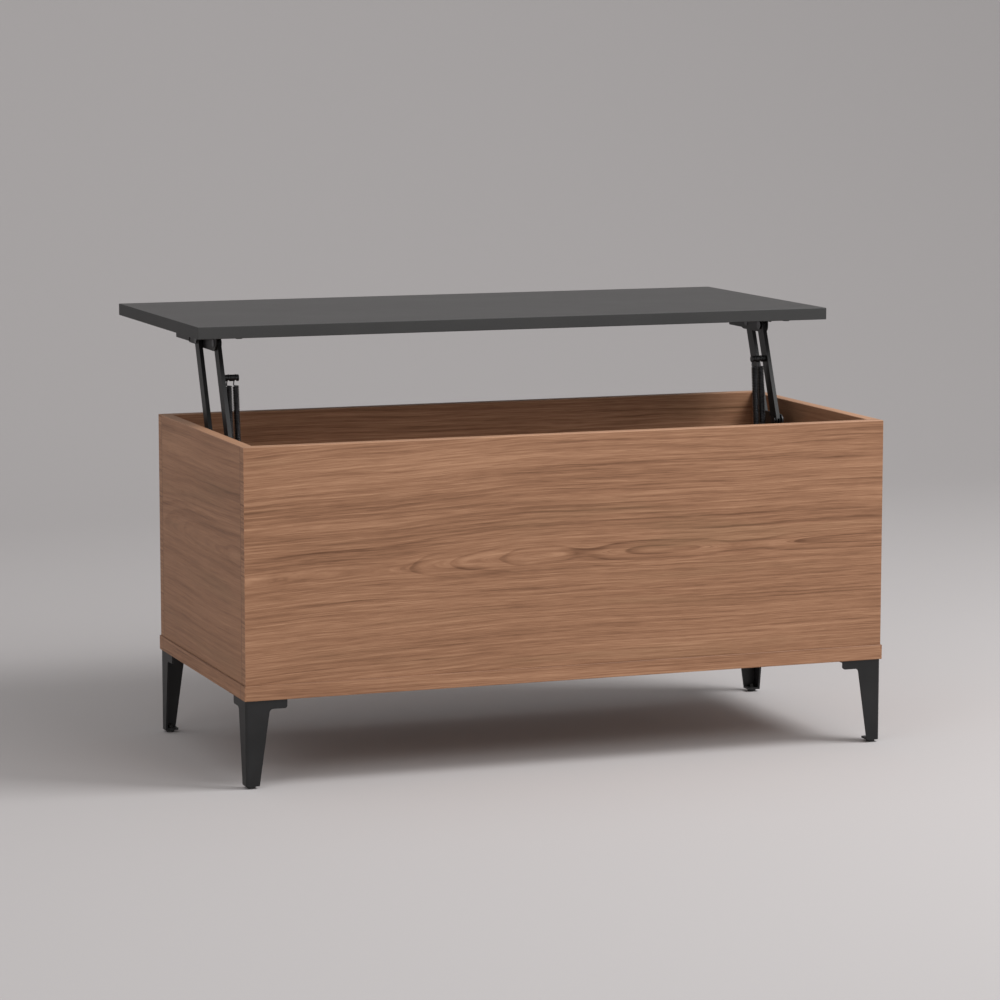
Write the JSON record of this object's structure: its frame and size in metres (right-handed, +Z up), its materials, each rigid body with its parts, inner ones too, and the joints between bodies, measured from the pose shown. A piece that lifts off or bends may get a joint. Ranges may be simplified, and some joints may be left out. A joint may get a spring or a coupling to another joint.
{
  "type": "lift top coffee table",
  "caption": "Walnut box coffee table on short black steel corner legs; its charcoal top rises and slides back on spring-loaded parallel arms to open the storage inside.",
  "frame": {"origin": "on the floor under the middle of the box", "axes": "+X along the width, +Y towards the back, +Z up; the lid is raised at rest"},
  "size_m": [1.01, 0.676, 0.6446],
  "materials": {
    "walnut": "satin walnut veneer",
    "dowel_wood": "bare beech",
    "charcoal_laminate": "satin charcoal laminate on board",
    "black_steel": "satin black powder coat",
    "black_screws": "black oxide",
    "zinc_steel": "zinc plated",
    "pin_steel": "dark plated steel",
    "spring_steel": "dark spring wire",
    "nylon": "black nylon",
    "glide_plastic": "black plastic",
    "rubber": "soft dark rubber"
  },
  "bodies": {
    "carcass": {"base_board": "walnut", "front_panel": "walnut", "back_panel": "walnut", "left_panel": "walnut", "right_panel": "walnut", "panel_dowels": "dowel_wood", "base_screws": "zinc_steel", "front_left_leg": "black_steel", "front_left_glide": "glide_plastic", "front_right_leg": "black_steel", "front_right_glide": "glide_plastic", "back_left_leg": "black_steel", "back_left_glide": "glide_plastic", "back_right_leg": "black_steel", "back_right_glide": "glide_plastic", "leg_screws": "black_screws", "left_box_bracket": "black_steel", "left_box_bracket_screws": "black_screws", "left_box_pins": "pin_steel", "left_box_washers": "nylon", "left_stop_pin": "pin_steel", "left_spring_anchor": "black_steel", "right_box_bracket": "black_steel", "right_box_bracket_screws": "black_screws", "right_box_pins": "pin_steel", "right_box_washers": "nylon", "right_stop_pin": "pin_steel", "right_spring_anchor": "black_steel"},
    "left_front_arm": {"left_front_arm": "black_steel", "left_spring_post": "black_steel"},
    "right_front_arm": {"right_front_arm": "black_steel", "right_spring_post": "black_steel"},
    "left_rear_arm": {"left_rear_arm": "black_steel"},
    "right_rear_arm": {"right_rear_arm": "black_steel"},
    "lid": {"lid_board": "charcoal_laminate", "lid_bumpers": "rubber", "left_lid_bracket": "black_steel", "left_lid_bracket_screws": "black_screws", "left_lid_pins": "pin_steel", "left_lid_washers": "nylon", "right_lid_bracket": "black_steel", "right_lid_bracket_screws": "black_screws", "right_lid_pins": "pin_steel", "right_lid_washers": "nylon"},
    "left_springs": {"left_inner_spring": "spring_steel", "left_outer_spring": "spring_steel"},
    "right_springs": {"right_inner_spring": "spring_steel", "right_outer_spring": "spring_steel"}
  },
  "joints": [
    {"name": "lift", "type": "hinge", "parent": "carcass", "child": "left_front_arm", "pos_m": [-0.4444, 0.0356, 0.466], "axis": [1, 0, 0], "range_deg": [0, 107.77], "deforming": ["left_inner_spring", "left_outer_spring", "right_inner_spring", "right_outer_spring"]},
    {"name": "right_front_swing", "type": "hinge", "parent": "carcass", "child": "right_front_arm", "pos_m": [0.4444, 0.0356, 0.466], "axis": [1, 0, 0], "range_deg": [0, 107.77]},
    {"name": "left_rear_swing", "type": "hinge", "parent": "carcass", "child": "left_rear_arm", "pos_m": [-0.4548, 0.1036, 0.466], "axis": [1, 0, 0], "range_deg": [0, 107.77]},
    {"name": "right_rear_swing", "type": "hinge", "parent": "carcass", "child": "right_rear_arm", "pos_m": [0.4548, 0.1036, 0.466], "axis": [1, 0, 0], "range_deg": [0, 107.77]},
    {"name": "lid_level", "type": "hinge", "parent": "left_front_arm", "child": "lid", "pos_m": [-0.4444, 0.09404, 0.61064], "axis": [1, 0, 0], "range_deg": [-107.77, 0]},
    {"name": "left_spring_swing", "type": "hinge", "parent": "carcass", "child": "left_springs", "pos_m": [-0.4283, 0.05937, 0.42779], "axis": [1, 0, 0], "range_deg": [0, 75.95]},
    {"name": "right_spring_swing", "type": "hinge", "parent": "carcass", "child": "right_springs", "pos_m": [0.4283, 0.05937, 0.42779], "axis": [1, 0, 0], "range_deg": [0, 75.95]}
  ],
  "couplings": [
    {"joint": "right_front_swing", "follows": "lift", "ratio": 1},
    {"joint": "left_rear_swing", "follows": "lift", "ratio": 1},
    {"joint": "right_rear_swing", "follows": "lift", "ratio": 1},
    {"joint": "lid_level", "follows": "lift", "ratio": -1},
    {"joint": "left_spring_swing", "follows": "lift", "ratio": 0.70472},
    {"joint": "right_spring_swing", "follows": "lift", "ratio": 0.70472}
  ]
}
